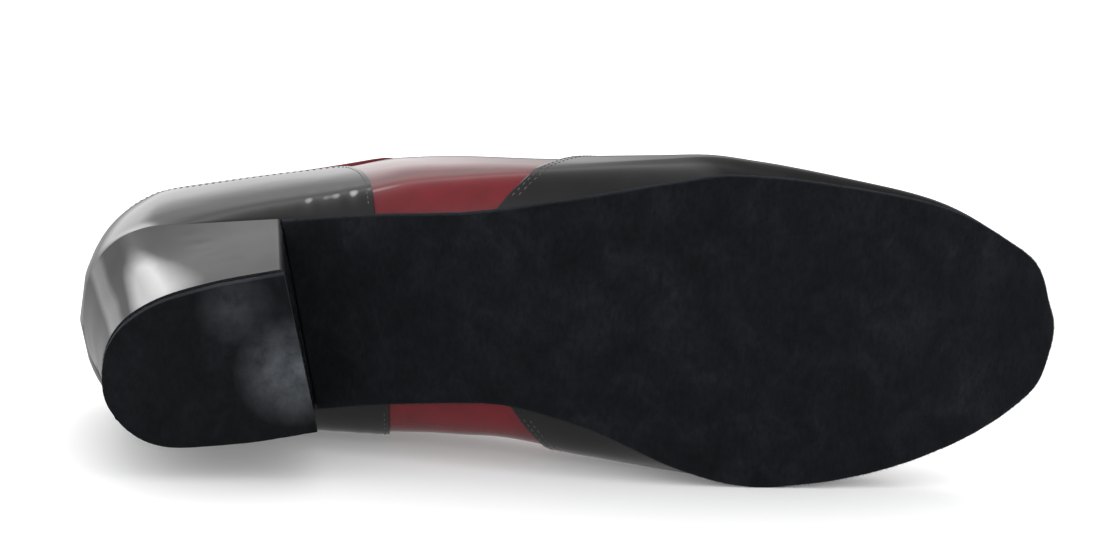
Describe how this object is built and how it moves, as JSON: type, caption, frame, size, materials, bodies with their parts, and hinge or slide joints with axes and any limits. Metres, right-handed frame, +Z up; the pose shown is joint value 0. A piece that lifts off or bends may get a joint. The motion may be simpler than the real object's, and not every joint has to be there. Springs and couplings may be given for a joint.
{
  "type": "ballroom dance shoe",
  "caption": "Closed lace-up ballroom dance shoe with a Cuban heel: hollow burgundy and black patent upper, black suede outsole, right foot, lying on its inner side.",
  "frame": {"origin": "middle of the bounding box's base, on the floor that the shoe lies on", "axes": "+X towards the toe, along the floor; -Y out of the sole; +Z up, towards the shoe's outer side"},
  "size_m": [0.2818, 0.109, 0.0947],
  "materials": {
    "outsole_suede": "black suede, brushed nap",
    "heel_cover": "wooden heel covered in black patent leather",
    "top_piece_suede": "black suede, worn",
    "lining": "tan lining leather",
    "upper_patent": "burgundy patent, with black patent vamp and counter",
    "tongue_leather": "smooth black leather",
    "lace": "woven black cotton"
  },
  "bodies": {
    "root": {"outsole": "outsole_suede", "heel_block": "heel_cover", "heel_top_piece": "top_piece_suede", "insole": "lining", "upper": "upper_patent", "tongue": "tongue_leather", "lace_1": "lace", "lace_2": "lace", "lace_3": "lace", "lace_4": "lace", "lace_5": "lace"}
  },
  "joints": []
}
